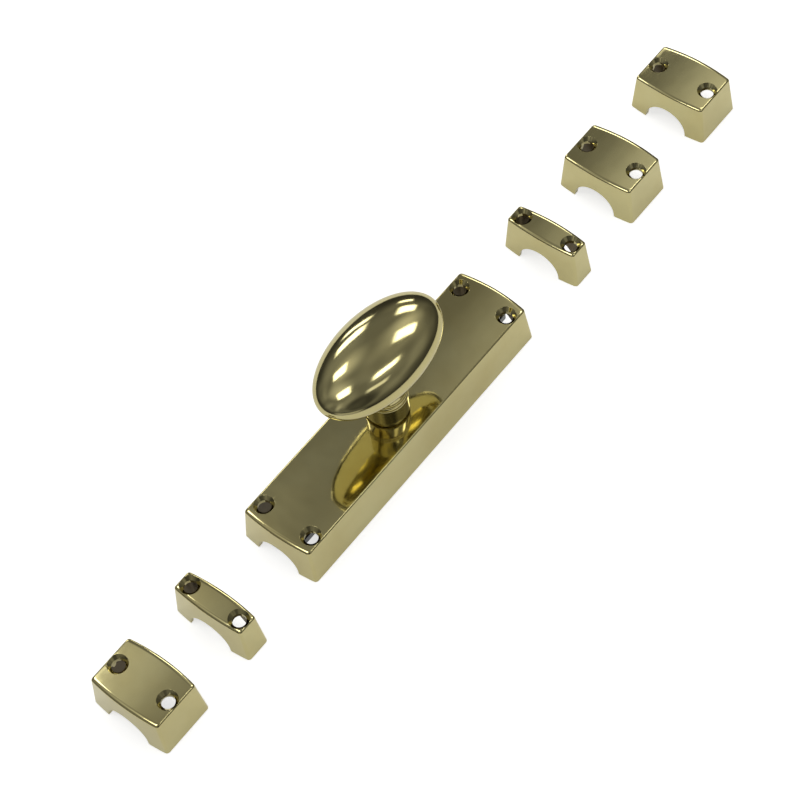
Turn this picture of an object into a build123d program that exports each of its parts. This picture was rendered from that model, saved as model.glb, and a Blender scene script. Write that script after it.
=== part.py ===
"""Surface-mounted cremone bolt in cast brass: case with oval knob, rack and pinion, guides and keepers.

Millimetres. X runs along the rod line, upwards on the door. Y runs across it. Z stands off the door.
The origin is where the knob's axis meets the door, on the back plane of every casting.
"""
import os
from math import acos, ceil, cos, pi, radians, sin, sqrt, tan

from build123d import *

os.makedirs("parts", exist_ok=True)

# ---- Driving dimensions ------------------------------------------------------------------------

# Half-round rod that the set is made for, flat side on the door
rod_width = 18.0
rod_clearance = 0.5

# What all six castings share
casting_height = 17.6
crown_rise = 0.5          # how much higher the top stands along its middle
end_draft = 1.28          # how far each end wall leans out from top to base
side_draft = 1.84         # the same for each long side
end_bow = 1.35            # how far each end bows out in plan
top_thickness = 2.6
corner_radius = 1.2
edge_radius = 0.8
screw_hole_diameter = 5.2
countersink_diameter = 8.0
screw_head_angle = 90.0   # of every countersunk head

# Case
case_length = 128.7
case_width = 30.9
case_wall = 2.0
case_screw_inset_x = 6.25  # from the top's end to the screws
case_screw_inset_y = 4.4  # from the top's side to the screws
rail_thickness = 1.6      # ribs under the top that keep the racks down
rail_inset = 1.0          # from a rack's back edge to the middle of its rail
rail_length = 34.0
rail_start = 13.0         # from the knob's axis

# Wide blocks: the two keepers and the wide guide
block_length = 19.8
block_width = 31.6
block_wall = 2.0
block_screw_inset = 4.1

# Narrow guides
guide_length = 7.7
guide_width = 31.6
guide_wall = 1.4
guide_screw_inset = 4.3

# Places of the loose castings along the rod line
keeper_lower_x = -137.1
guide_lower_x = -98.7
guide_upper_x = 98.7
wide_guide_upper_x = 141.6
keeper_upper_x = 190.4

# Rack and pinion, with stub teeth
gear_module = 1.0
addendum_modules = 0.8    # a tooth above the pitch circle, in modules
dedendum_modules = 1.0    # a tooth space below it
pinion_teeth = 14
pressure_angle = 20.0
tooth_backlash = 0.14
knob_turn = 180.0
pinion_thickness = 4.8
hub_radius = 5.0
rack_thickness = 4.0
rack_land = 1.6           # plain metal past the last tooth
tail_width = 10.8
tail_thickness = 3.0
tail_lift = 1.8           # the tail's underside above the toothed bar's
shoulder_length = 10.0    # where the toothed bar crosses over to the tail
shoulder_gap = 2.2        # from the pinion to the shoulder
shoulder_slope = 2.7      # how long the shoulder's slanted edge is, along the rack
spare_teeth = 2           # rack teeth past the last one that the pinion reaches

# Rod pegs, riveted to the tails and pointing at the door, so that the case is set down over its rods
peg_diameter = 5.0
peg_height = 3.0
peg_inset = 5.3           # from the tail's end to the peg's axis
peg_chamfer = 0.5
rivet_diameter = 3.0

# Back plate and its screws
plate_length = 84.0
plate_thickness = 1.5
plate_margin = 0.25       # gap to the side walls
plate_corner = 2.0
plate_screw_spacing = 68.0
plate_screw_inset = 2.2   # from the plate's side to its screws
plate_screw_diameter = 2.0
plate_screw_head = 3.6
plate_screw_length = 8.0
plate_screw_slot = 0.5
plate_screw_slot_depth = 0.4
post_radius = 2.0

# Bush that carries the pinion's hub
bush_wall = 1.9
bush_length = 9.1         # below the flange
bush_boss_wall = 2.2
bush_boss_height = 4.0    # below the case's top wall
flange_width = 1.0
flange_thickness = 1.0
flange_edge_radius = 0.33
spring_washer_width = 1.7
spring_washer_thickness = 0.5

# Spindle and what holds the pinion on it
spindle_flats = 6.0
spindle_top = 37.0        # off the door
spindle_chamfer = 0.6
pinion_washer_radius = 4.2
pinion_washer_thickness = 0.7
pinion_screw_diameter = 3.0
pinion_screw_head = 5.6
pinion_screw_head_height = 0.9
pinion_screw_length = 9.0
pinion_screw_slot = 0.75
pinion_screw_slot_depth = 0.45

# Knob
neck_radius = 8.6
ferrule_top = 31.0        # off the door
ferrule_wall = 2.0
neck_gap = 0.25           # between the ferrule and the bush's flange
bead_radius = 0.45
bead_spacing = 2.1
bead_count = 2
head_half_length = 30.5
head_half_width = 17.5
head_half_thickness = 9.6
head_centre_height = 53.3
throat_height = 9.0       # almost straight part of the stem, above the ferrule
throat_inset = 0.7        # from the ferrule's side to the foot of the throat
throat_taper = 0.6        # how much the throat narrows upwards
flare_drop = 6.7          # from the head's centre down to the top of its flare
flare_half_length = 9.6   # of the flare where it meets the head
flare_half_width = 8.6
grub_screw_diameter = 4.0
grub_screw_height = 24.5
grub_screw_socket = 2.0

# Clearances
running_clearance = 0.05  # a shaft in its bush, radial
fit_clearance = 0.03      # pieces pressed or slid together, per side
gap = 0.3                 # pieces that move past each other
overrun = 1.0             # how far a cut runs past the metal

# ---- Derived sizes -----------------------------------------------------------------------------

arch_radius = rod_width / 2 + rod_clearance
case_screw_spacing_x = case_length - 2 * case_screw_inset_x
case_screw_spacing_y = case_width - 2 * case_screw_inset_y
block_screw_spacing = block_width - 2 * block_screw_inset
guide_screw_spacing = guide_width - 2 * guide_screw_inset
pitch_radius = gear_module * pinion_teeth / 2
tooth_pitch = pi * gear_module
addendum = addendum_modules * gear_module
dedendum = dedendum_modules * gear_module
rack_travel = pitch_radius * radians(knob_turn)

top_height = casting_height + crown_rise
ceiling = casting_height - top_thickness
rack_bottom = plate_thickness + gap
rack_top = rack_bottom + rack_thickness
tail_bottom = rack_bottom + tail_lift
rack_reach = case_length / 2
pinion_bottom = rack_bottom + gap / 2
pinion_top = pinion_bottom + pinion_thickness
bush_bottom = top_height - bush_length
bush_bore_radius = hub_radius + running_clearance
bush_radius = bush_bore_radius + bush_wall
flange_radius = bush_radius + flange_width
flange_top = top_height + flange_thickness
ferrule_bottom = flange_top + neck_gap
stem_radius = neck_radius - ferrule_wall
plate_lean = side_draft * plate_thickness / casting_height
plate_half_width = case_width / 2 + side_draft - plate_lean - case_wall - plate_margin
post_y = plate_half_width - plate_screw_inset
rack_back = post_y - post_radius - gap
socket_flats = spindle_flats + 2 * fit_clearance
recess_top = pinion_bottom + gap + pinion_screw_head_height + pinion_washer_thickness
spindle_bottom = recess_top + gap / 2
screw_hole_radius = screw_hole_diameter / 2


def crown_height(y, width):
    """Height of a casting's top at a distance from its middle line."""
    crown_radius = ((width / 2) ** 2 + crown_rise**2) / (2 * crown_rise)
    return top_height - crown_radius + sqrt(crown_radius**2 - y**2)


# ---- Castings ----------------------------------------------------------------------------------


def drafted_plan(centre_x, length, width, inset, height):
    """Outline of a casting, or of its hollow, at one height: straight sides and ends bowed outwards."""
    fall = (casting_height - height) / casting_height
    half_width = width / 2 + side_draft * fall - inset
    right = centre_x + length / 2 + end_draft * fall - inset
    left = 2 * centre_x - right
    with BuildSketch(Plane.XY.offset(height)) as outline:
        with BuildLine():
            Line((left, half_width), (right, half_width))
            ThreePointArc((right, half_width), (right + end_bow, 0), (right, -half_width))
            Line((right, -half_width), (left, -half_width))
            ThreePointArc((left, -half_width), (left - end_bow, 0), (left, half_width))
        make_face()
        fillet(outline.vertices(), corner_radius)
    return outline.sketch


def drafted_solid(centre_x, length, width, inset, height):
    """Solid between the back plane and a height, inside the casting's outline by an inset."""
    base = drafted_plan(centre_x, length, width, inset, 0)
    top = drafted_plan(centre_x, length, width, inset, height)
    with BuildPart() as solid:
        loft([base, top], ruled=True)
    return solid.part


def casting(centre_x, length, width, wall, screw_spacing_x, screw_spacing_y):
    """Drafted box, hollow at the back, with the rod's arch through its ends and countersunk holes."""
    reach = length + 2 * (end_bow + end_draft + overrun)
    with BuildPart() as shell:
        add(drafted_solid(centre_x, length, width, 0, top_height))
        with BuildSketch(Plane.YZ.offset(centre_x - reach / 2)):
            with BuildLine():
                low = crown_height(width, width)
                ThreePointArc((-width, low), (0, top_height), (width, low))
                Polyline((width, low), (width, -overrun), (-width, -overrun), (-width, low))
            make_face()
        extrude(amount=reach, mode=Mode.INTERSECT)
        fillet(shell.faces().sort_by(Axis.Z)[-1].edges(), edge_radius)
        add(drafted_solid(centre_x, length, width, wall, ceiling), mode=Mode.SUBTRACT)
        with BuildSketch(Plane.YZ.offset(centre_x - reach / 2)):
            Circle(arch_radius)
        extrude(amount=reach, mode=Mode.SUBTRACT)
        columns = 2 if screw_spacing_x else 1
        with Locations((centre_x, 0, crown_height(screw_spacing_y / 2, width))):
            with GridLocations(screw_spacing_x, screw_spacing_y, columns, 2):
                CounterSinkHole(
                    screw_hole_radius,
                    countersink_diameter / 2,
                    depth=casting_height,
                    counter_sink_angle=screw_head_angle,
                )
    return shell.part


# What is cast inside the case: the bush's boss, rails over the racks and posts for the back plate
inner_outline = drafted_solid(0, case_length, case_width, case_wall / 2, ceiling + top_thickness / 2)
with BuildPart() as case_fittings:
    with BuildSketch(Plane.XY.offset(ceiling - bush_boss_height)):
        Circle(bush_radius + fit_clearance + bush_boss_wall)
    extrude(amount=top_height)
    with BuildSketch(Plane.XY.offset(rack_top + gap)):
        with GridLocations(2 * rail_start + rail_length, 2 * (rack_back - rail_inset), 2, 2):
            Rectangle(rail_length, rail_thickness)
    extrude(amount=top_height)
    with BuildSketch(Plane.XY.offset(plate_thickness)):
        web = case_width / 2 + side_draft - post_y
        with GridLocations(plate_screw_spacing, 2 * post_y, 2, 2):
            Circle(post_radius)
        with GridLocations(plate_screw_spacing, 2 * post_y + web, 2, 2):
            Rectangle(2 * post_radius, web)
    extrude(amount=top_height)
    add(inner_outline, mode=Mode.INTERSECT)

with BuildPart() as case:
    add(casting(0, case_length, case_width, case_wall, case_screw_spacing_x, case_screw_spacing_y))
    add(case_fittings.part)
    with BuildSketch():
        Circle(bush_radius + fit_clearance)
    extrude(amount=2 * top_height, mode=Mode.SUBTRACT)
    with BuildSketch():
        with GridLocations(plate_screw_spacing, 2 * post_y, 2, 2):
            Circle(plate_screw_diameter / 2 + fit_clearance)
    extrude(amount=plate_screw_length + gap, mode=Mode.SUBTRACT)
case.part.label = "case"
export_step(case.part, "parts/case.step")

# The loose castings: two narrow guides, one wide guide, and a keeper for each end of the rod line
narrow = (guide_length, guide_width, guide_wall, 0, guide_screw_spacing)
wide = (block_length, block_width, block_wall, 0, block_screw_spacing)
for name, centre_x, form in (
    ("guide_lower", guide_lower_x, narrow),
    ("guide_upper", guide_upper_x, narrow),
    ("wide_guide_upper", wide_guide_upper_x, wide),
    ("keeper_lower", keeper_lower_x, wide),
    ("keeper_upper", keeper_upper_x, wide),
):
    with BuildPart() as bracket:
        add(casting(centre_x, *form))
    bracket.part.label = name
    export_step(bracket.part, f"parts/{name}.step")

# ---- Back plate --------------------------------------------------------------------------------

with BuildPart() as back_plate:
    with BuildSketch():
        Rectangle(plate_length, 2 * plate_half_width)
    extrude(amount=plate_thickness)
    fillet(back_plate.edges().filter_by(Axis.Z), plate_corner)
    with Locations(Plane.XY.rotated((180, 0, 0))):
        with GridLocations(plate_screw_spacing, 2 * post_y, 2, 2):
            CounterSinkHole(
                plate_screw_diameter / 2 + running_clearance,
                plate_screw_head / 2 + fit_clearance,
                counter_sink_angle=screw_head_angle,
            )
back_plate.part.label = "back_plate"
export_step(back_plate.part, "parts/back_plate.step")

with BuildPart() as plate_screw:
    with BuildSketch(Plane.XZ):
        with BuildLine():
            shank = plate_screw_diameter / 2
            head_depth = plate_screw_head / 2 - shank
            Polyline(
                (0, 0),
                (plate_screw_head / 2, 0),
                (shank, head_depth),
                (shank, plate_screw_length),
                (0, plate_screw_length),
                close=True,
            )
        make_face()
    revolve(axis=Axis.Z)
    with BuildSketch():
        Rectangle(plate_screw_head, plate_screw_slot)
    extrude(amount=plate_screw_slot_depth, mode=Mode.SUBTRACT)
with BuildPart() as back_plate_screws:
    with GridLocations(plate_screw_spacing, 2 * post_y, 2, 2):
        add(plate_screw.part)
back_plate_screws.part.label = "back_plate_screws"
export_step(back_plate_screws.part, "parts/back_plate_screws.step")

# ---- Bush and pinion ---------------------------------------------------------------------------

with BuildPart() as spindle_bush:
    with BuildSketch(Plane.XY.offset(bush_bottom)):
        Circle(bush_radius)
    extrude(amount=bush_length)
    with BuildSketch(Plane.XY.offset(top_height)):
        Circle(flange_radius)
    extrude(amount=flange_thickness)
    fillet(spindle_bush.edges().group_by(Axis.Z)[-1], flange_edge_radius)
    with BuildSketch(Plane.XY.offset(bush_bottom)):
        Circle(bush_bore_radius)
    extrude(amount=bush_length + flange_thickness, mode=Mode.SUBTRACT)
spindle_bush.part.label = "spindle_bush"
export_step(spindle_bush.part, "parts/spindle_bush.step")


def involute_half_angle(radius):
    """Half the angle that a pinion tooth covers at a radius, in radians."""
    pressure = radians(pressure_angle)
    at_radius = acos(min(1.0, pitch_radius * cos(pressure) / radius))
    half_at_pitch = (tooth_pitch - tooth_backlash) / 4 / pitch_radius
    return half_at_pitch + (tan(pressure) - pressure) - (tan(at_radius) - at_radius)


# One pinion tooth pointing along +Y: involute flanks from the base circle to the tip
base_radius = pitch_radius * cos(radians(pressure_angle))
root_radius = pitch_radius - dedendum
tip_radius = pitch_radius + addendum
flank_steps = 4
flank = []
for step in range(flank_steps + 1):
    radius = base_radius + (tip_radius - base_radius) * step / flank_steps
    angle = involute_half_angle(radius)
    flank.append((radius * sin(angle), radius * cos(angle)))
foot_radius = root_radius - tooth_backlash
root_angle = involute_half_angle(base_radius)
foot = (foot_radius * sin(root_angle), foot_radius * cos(root_angle))
with BuildSketch() as pinion_tooth:
    with BuildLine():
        Line(foot, flank[0])
        Spline(*flank)
        Line(flank[-1], (0, tip_radius))
        Line((0, tip_radius), (0, foot[1]))
        Line((0, foot[1]), foot)
    make_face()
    mirror(about=Plane.YZ)

with BuildPart() as pinion:
    with BuildSketch(Plane.XY.offset(pinion_bottom)):
        Circle(root_radius)
        with PolarLocations(0, pinion_teeth):
            add(pinion_tooth.sketch)
    extrude(amount=pinion_thickness)
    with BuildSketch(Plane.XY.offset(pinion_top)):
        Circle(hub_radius)
    extrude(amount=flange_top - gap - pinion_top)
    with BuildSketch(Plane.XY.offset(pinion_bottom)):
        Rectangle(socket_flats, socket_flats)
    extrude(amount=flange_top, mode=Mode.SUBTRACT)
    with BuildSketch(Plane.XY.offset(pinion_bottom)):
        Circle(pinion_washer_radius + running_clearance)
    extrude(amount=recess_top - pinion_bottom, mode=Mode.SUBTRACT)
pinion.part.label = "pinion"
export_step(pinion.part, "parts/pinion.step")

with BuildPart() as spring_washer:
    with BuildSketch(Plane.XZ):
        with BuildLine():
            inner = hub_radius + running_clearance
            outer = inner + spring_washer_width
            crest = bush_bottom - gap
            Polyline(
                (outer, pinion_top),
                (outer, pinion_top + spring_washer_thickness),
                (inner, crest),
                (inner, crest - spring_washer_thickness),
                close=True,
            )
        make_face()
    revolve(axis=Axis.Z)
spring_washer.part.label = "spring_washer"
export_step(spring_washer.part, "parts/spring_washer.step")

# ---- Spindle -----------------------------------------------------------------------------------

washer_bottom = recess_top - pinion_washer_thickness

with BuildPart() as spindle:
    with BuildSketch(Plane.XY.offset(spindle_bottom)):
        Rectangle(spindle_flats, spindle_flats)
    extrude(amount=spindle_top - spindle_bottom)
    chamfer(spindle.edges().group_by(Axis.Z)[-1], spindle_chamfer)
    with BuildSketch(Plane.XY.offset(washer_bottom)):
        Circle(pinion_screw_diameter / 2 + fit_clearance)
    extrude(amount=pinion_screw_length + gap, mode=Mode.SUBTRACT)
spindle.part.label = "spindle"
export_step(spindle.part, "parts/spindle.step")

with BuildPart() as pinion_washer:
    with BuildSketch(Plane.XY.offset(washer_bottom)):
        Circle(pinion_washer_radius)
        Circle(pinion_screw_diameter / 2 + running_clearance, mode=Mode.SUBTRACT)
    extrude(amount=pinion_washer_thickness)
pinion_washer.part.label = "pinion_washer"
export_step(pinion_washer.part, "parts/pinion_washer.step")

with BuildPart() as pinion_screw:
    with BuildSketch(Plane.XY.offset(washer_bottom - pinion_screw_head_height)):
        Circle(pinion_screw_head / 2)
        Rectangle(pinion_screw_head, pinion_screw_slot, mode=Mode.SUBTRACT)
    extrude(amount=pinion_screw_slot_depth)
    with BuildSketch(Plane.XY.offset(washer_bottom - pinion_screw_head_height + pinion_screw_slot_depth)):
        Circle(pinion_screw_head / 2)
    extrude(amount=pinion_screw_head_height - pinion_screw_slot_depth)
    with BuildSketch(Plane.XY.offset(washer_bottom)):
        Circle(pinion_screw_diameter / 2)
    extrude(amount=pinion_screw_length)
pinion_screw.part.label = "pinion_screw"
export_step(pinion_screw.part, "parts/pinion_screw.step")

# ---- Racks -------------------------------------------------------------------------------------

# Drawn for the upper rack, which lies on the -Y side of the pinion and runs out towards +X.
# At rest a space between its teeth faces the pinion's axis.
teeth_behind = ceil(rack_travel / tooth_pitch) + spare_teeth
tooth_root_width = (tooth_pitch - tooth_backlash) / 2 + 2 * dedendum * tan(radians(pressure_angle))
rack_root = pitch_radius + dedendum
bar_start = -teeth_behind * tooth_pitch - rack_land
shoulder_start = pitch_radius + addendum + shoulder_gap
shoulder_end = shoulder_start + shoulder_length
peg_x = rack_reach - peg_inset

with BuildSketch() as bar_outline:
    with BuildLine():
        Polyline(
            (bar_start, -rack_back),
            (bar_start, -rack_root),
            (shoulder_start, -rack_root),
            (shoulder_start, tail_width / 2),
            (shoulder_end, tail_width / 2),
            (shoulder_end, -tail_width / 2),
            (shoulder_end - shoulder_slope, -rack_back),
            close=True,
        )
    make_face()
    for place in range(-teeth_behind, spare_teeth):
        tooth_x = (place + 0.5) * tooth_pitch
        with Locations((tooth_x, -rack_root + (addendum + dedendum) / 2)):
            Trapezoid(tooth_root_width, addendum + dedendum, 90 - pressure_angle)

with BuildSketch() as tail_outline:
    with Locations(((shoulder_start + rack_reach) / 2, 0)):
        Rectangle(rack_reach - shoulder_start, tail_width)
    with Locations((peg_x, 0)):
        Circle(rivet_diameter / 2 + fit_clearance, mode=Mode.SUBTRACT)

with BuildPart() as rod_peg:
    with BuildSketch(Plane.XY.offset(tail_bottom - peg_height)):
        with Locations((peg_x, 0)):
            Circle(peg_diameter / 2)
    extrude(amount=peg_height)
    chamfer(rod_peg.edges().group_by(Axis.Z)[0], peg_chamfer)
    with BuildSketch(Plane.XY.offset(tail_bottom)):
        with Locations((peg_x, 0)):
            Circle(rivet_diameter / 2)
    extrude(amount=tail_thickness)

for end, turn in (("upper", 0), ("lower", 180)):
    with BuildPart() as rack:
        with BuildSketch(Plane.XY.offset(rack_bottom).rotated((0, 0, turn))):
            add(bar_outline.sketch)
        extrude(amount=rack_thickness)
        with BuildSketch(Plane.XY.offset(tail_bottom).rotated((0, 0, turn))):
            add(tail_outline.sketch)
        extrude(amount=tail_thickness)
    rack.part.label = f"rack_{end}"
    export_step(rack.part, f"parts/rack_{end}.step")
    with BuildPart() as peg:
        add(rod_peg.part, rotation=(0, 0, turn))
    peg.part.label = f"rod_peg_{end}"
    export_step(peg.part, f"parts/rod_peg_{end}.step")

# ---- Knob --------------------------------------------------------------------------------------

with BuildPart() as neck_ferrule:
    with BuildSketch(Plane.XY.offset(ferrule_bottom)):
        Circle(neck_radius)
    extrude(amount=ferrule_top - ferrule_bottom)
    fillet(neck_ferrule.edges(), bead_radius)
    with BuildSketch(Plane.XZ):
        for bead in range(bead_count):
            with Locations((neck_radius, ferrule_top - 2 * bead_radius - bead * bead_spacing)):
                Circle(bead_radius)
    revolve(axis=Axis.Z)
    with BuildSketch(Plane.XY.offset(ferrule_bottom)):
        Circle(stem_radius + fit_clearance)
    extrude(amount=ferrule_top - ferrule_bottom, mode=Mode.SUBTRACT)
    with BuildSketch(Plane.XZ.offset(-neck_radius * 2)):
        with Locations((0, grub_screw_height)):
            Circle(grub_screw_diameter / 2 + fit_clearance)
    extrude(amount=neck_radius * 2, mode=Mode.SUBTRACT)
neck_ferrule.part.label = "neck_ferrule"
export_step(neck_ferrule.part, "parts/neck_ferrule.step")

# Oval head: an ellipsoid that spreads from a slim round throat, which stands on the ferrule
with BuildPart() as oval:
    Sphere(head_half_thickness)
    stretch = (head_half_length / head_half_thickness, head_half_width / head_half_thickness, 1)
    scale(by=stretch, mode=Mode.REPLACE)

throat_foot_radius = neck_radius - throat_inset
throat_radius = throat_foot_radius - throat_taper
flare_bottom = ferrule_top + throat_height
flare_top = head_centre_height - flare_drop
flare_steps = 3
flare_sections = []
for step in range(flare_steps + 1):
    rise = step / flare_steps
    growth = rise**2
    half_length = throat_radius + (flare_half_length - throat_radius) * growth
    half_width = throat_radius + (flare_half_width - throat_radius) * growth
    with BuildSketch(Plane.XY.offset(flare_bottom + (flare_top - flare_bottom) * rise)) as section:
        Ellipse(half_length, half_width)
    flare_sections.append(section.sketch)

with BuildPart() as knob_head:
    with Locations((0, 0, head_centre_height)):
        add(oval.part)
    loft(flare_sections)
    with BuildSketch(Plane.XY.offset(ferrule_top)) as throat_foot:
        Circle(throat_foot_radius)
    with BuildSketch(Plane.XY.offset(flare_bottom)) as throat_head:
        Circle(throat_radius)
    loft([throat_foot.sketch, throat_head.sketch])
    with BuildSketch(Plane.XY.offset(ferrule_bottom + gap)):
        Circle(stem_radius)
    extrude(amount=ferrule_top - ferrule_bottom - gap)
    with BuildSketch(Plane.XY.offset(ferrule_bottom)):
        Rectangle(socket_flats, socket_flats)
    extrude(amount=spindle_top + gap - ferrule_bottom, mode=Mode.SUBTRACT)
    with BuildSketch(Plane.XZ.offset(-neck_radius * 2)):
        with Locations((0, grub_screw_height)):
            Circle(grub_screw_diameter / 2 + fit_clearance)
    extrude(amount=neck_radius * 2, mode=Mode.SUBTRACT)
knob_head.part.label = "knob_head"
export_step(knob_head.part, "parts/knob_head.step")

# Grub screw through the ferrule and the stem, its point on the spindle's flat
grub_start = spindle_flats / 2
grub_length = sqrt(neck_radius**2 - (grub_screw_diameter / 2) ** 2) - grub_start
with BuildPart() as grub_screw:
    with BuildSketch(Plane.XZ.offset(-grub_start)):
        with Locations((0, grub_screw_height)):
            Circle(grub_screw_diameter / 2)
    extrude(amount=-grub_length)
    with BuildSketch(Plane.XZ.offset(-grub_start - grub_length)):
        with Locations((0, grub_screw_height)):
            RegularPolygon(grub_screw_socket / 2, 6, major_radius=False)
    extrude(amount=grub_screw_socket, mode=Mode.SUBTRACT)
grub_screw.part.label = "grub_screw"
export_step(grub_screw.part, "parts/grub_screw.step")
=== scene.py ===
"""Dresses a brass cremone bolt set: castings, oval knob, turned neck and the pieces inside."""
from math import asin, cos, pi, radians, sin, sqrt

import bmesh
import bpy
from bpy.props import FloatProperty, FloatVectorProperty, PointerProperty
from mathutils import Matrix, Vector


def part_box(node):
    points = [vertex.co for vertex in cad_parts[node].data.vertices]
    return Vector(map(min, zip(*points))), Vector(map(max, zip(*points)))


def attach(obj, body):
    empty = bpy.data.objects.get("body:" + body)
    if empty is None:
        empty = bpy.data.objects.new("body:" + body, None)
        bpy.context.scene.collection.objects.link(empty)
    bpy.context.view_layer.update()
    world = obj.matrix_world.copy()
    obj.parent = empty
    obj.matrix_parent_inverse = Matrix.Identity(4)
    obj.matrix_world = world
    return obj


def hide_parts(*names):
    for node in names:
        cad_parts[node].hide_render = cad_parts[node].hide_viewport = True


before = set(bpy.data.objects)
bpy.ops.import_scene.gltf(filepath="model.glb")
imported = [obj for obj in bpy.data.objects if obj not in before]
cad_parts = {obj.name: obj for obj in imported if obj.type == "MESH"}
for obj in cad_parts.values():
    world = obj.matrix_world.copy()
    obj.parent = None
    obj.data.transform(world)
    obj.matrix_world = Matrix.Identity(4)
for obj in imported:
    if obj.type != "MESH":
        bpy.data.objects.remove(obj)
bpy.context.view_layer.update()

bl_info = {
    "name": "Cremone Bolt Set",
    "version": (1, 0, 0),
    "blender": (4, 5, 0),
    "location": "View3D > Sidebar > Cremone Bolt",
    "description": "Dresses a surface-mounted cremone bolt set in polished brass",
    "category": "Object",
}

MM = 0.001
WELD = 0.002 * MM  # points closer than this become one
NEAR = 0.01 * MM  # how far off its place a point may be and still be found there


def linear(hex_code):
    """Linear RGBA of an sRGB hex colour."""
    channels = [int(hex_code[i : i + 2], 16) / 255 for i in (1, 3, 5)]
    curve = (c / 12.92 if c <= 0.04045 else ((c + 0.055) / 1.055) ** 2.4 for c in channels)
    return (*curve, 1.0)


# ---- Sizes and colours that a user would change --------------------------------------------------


def length(name, description, millimetres):
    """Property that holds a length."""
    return FloatProperty(
        name=name, description=description, default=millimetres * MM, unit="LENGTH"
    )


def colour(name, description, hex_code):
    """Property that holds a colour."""
    return FloatVectorProperty(
        name=name, description=description, default=linear(hex_code)[:3],
        subtype="COLOR", min=0, max=1,
    )


class CastingSizes(bpy.types.PropertyGroup):
    """Sizes that the six hollow castings share."""

    side_draft: length("Side draft", "How far each long side leans out from top to base", 1.84)
    end_draft: length("End draft", "How far each end leans out from top to base", 1.28)
    end_bow: length("End bow", "How far each end bows out in plan", 1.35)
    crown: length("Crown", "How much higher the top stands along its middle", 0.5)
    corner_radius: length("Corner radius", "Radius of the upright corners", 1.2)
    edge_radius: length("Edge radius", "Polished rounding along the top's long sides", 0.8)
    end_radius: length("End radius", "How far the polished rounding reaches in from the ends", 1.8)
    edge_break: length("Edge break", "Softening of every other edge", 0.22)
    top_wall: length("Top wall", "Thickness of the top", 2.6)
    arch_radius: length("Arch radius", "Mouth for the half-round rod", 9.5)
    hole_radius: length("Hole radius", "Screw holes", 2.6)
    sink_radius: length("Countersink radius", "Countersinks where they meet the top", 4.0)
    rim_round: length("Rim rounding", "How far a countersink's buffed rim is rounded back", 0.38)


class KnobSizes(bpy.types.PropertyGroup):
    """Sizes of the knob and its neck."""

    half_length: length("Head half length", "Half the oval's length", 30.5)
    half_width: length("Head half width", "Half the oval's width", 17.5)
    half_thickness: length("Head half thickness", "Half the oval's thickness", 9.6)
    centre_height: length("Head height", "From the door to the oval's middle", 53.3)
    neck_radius: length("Neck radius", "Outside of the turned sleeve at its foot", 8.6)
    sleeve_taper: length("Sleeve taper", "How much slimmer the sleeve is at its top", 0.45)
    stem_radius: length("Stem radius", "Knob's stem inside the sleeve", 6.6)
    throat_foot_radius: length("Throat foot radius", "Stem where it stands on the sleeve", 7.9)
    throat_radius: length("Throat radius", "Stem just under the head", 7.3)
    throat_fillet: length("Throat fillet", "Rounding between the stem and the head", 1.2)
    bead_radius: length("Bead radius", "Turned beads round the sleeve", 0.45)
    bead_spacing: length("Bead spacing", "From one bead to the next", 2.1)


class Finish(bpy.types.PropertyGroup):
    """Colours and polish."""

    brass: colour("Brass", "Polished cast brass", "#c9c08c")
    brass_shade: colour("Brass shade", "Where the polish has aged a little", "#bcae74")
    # Darker than bare cast skin: it also paints in the shade inside the castings' hollows
    cast_skin_and_painted_shade: colour("Cast skin", "Brass as it left the mould, inside the castings", "#6e5f3a")
    paper: colour("Paper", "Paper that the set lies on", "#f2f2f1")
    polish: FloatProperty(
        name="Polish", description="Roughness of the polished brass", default=0.07, min=0, max=1,
        subtype="FACTOR",
    )


# ---- Small helpers -------------------------------------------------------------------------------


def deselect_all():
    """Leaves object mode with nothing selected."""
    if bpy.context.mode != "OBJECT":
        bpy.ops.object.mode_set(mode="OBJECT")
    bpy.ops.object.select_all(action="DESELECT")


def make_active(piece):
    """Selects one piece alone."""
    deselect_all()
    piece.select_set(True)
    bpy.context.view_layer.objects.active = piece


def new_piece(name):
    """Names the primitive that was just added."""
    piece = bpy.context.active_object
    piece.name = name
    piece.data.name = name
    return piece


def place_in_mesh(piece):
    """Moves the object's place, turn and size into its mesh."""
    make_active(piece)
    bpy.ops.object.transform_apply(location=True, rotation=True, scale=True)


def edit(piece, mode="FACE"):
    """Edit mode on one piece with nothing selected."""
    make_active(piece)
    bpy.ops.object.mode_set(mode="EDIT")
    bpy.ops.mesh.select_mode(type=mode)
    bpy.ops.mesh.select_all(action="DESELECT")
    return bmesh.from_edit_mesh(piece.data)


def choose(piece, mesh, items, test):
    """Selects the faces, edges or vertices that pass a test, and says how many."""
    chosen = [item for item in items if test(item)]
    for item in chosen:
        item.select_set(True)
    mesh.select_flush_mode()
    bmesh.update_edit_mesh(piece.data)
    return len(chosen)


def faces_up(face):
    """Whether a face is a cylinder's upper cap."""
    return face.normal.z > 0.9


def raise_selection(rise, scale_x, scale_y, centre):
    """Extrudes what is selected upwards, and makes it wider or narrower about a centre."""
    bpy.ops.mesh.extrude_region_move(TRANSFORM_OT_translate={"value": (0, 0, rise)})
    bpy.ops.transform.resize(value=(scale_x, scale_y, 1), center_override=centre)


def finish_edit(piece):
    """Merges doubles, turns the faces outwards and leaves edit mode."""
    bpy.ops.mesh.select_all(action="SELECT")
    bpy.ops.mesh.remove_doubles(threshold=WELD)
    bpy.ops.mesh.normals_make_consistent(inside=False)
    bpy.ops.object.mode_set(mode="OBJECT")


def apply_modifier(piece, kind, **settings):
    """Adds a modifier, sets it and applies it."""
    make_active(piece)
    modifier = piece.modifiers.new(kind.title(), kind)
    for key, value in settings.items():
        setattr(modifier, key, value)
    bpy.ops.object.modifier_apply(modifier=modifier.name)


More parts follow.
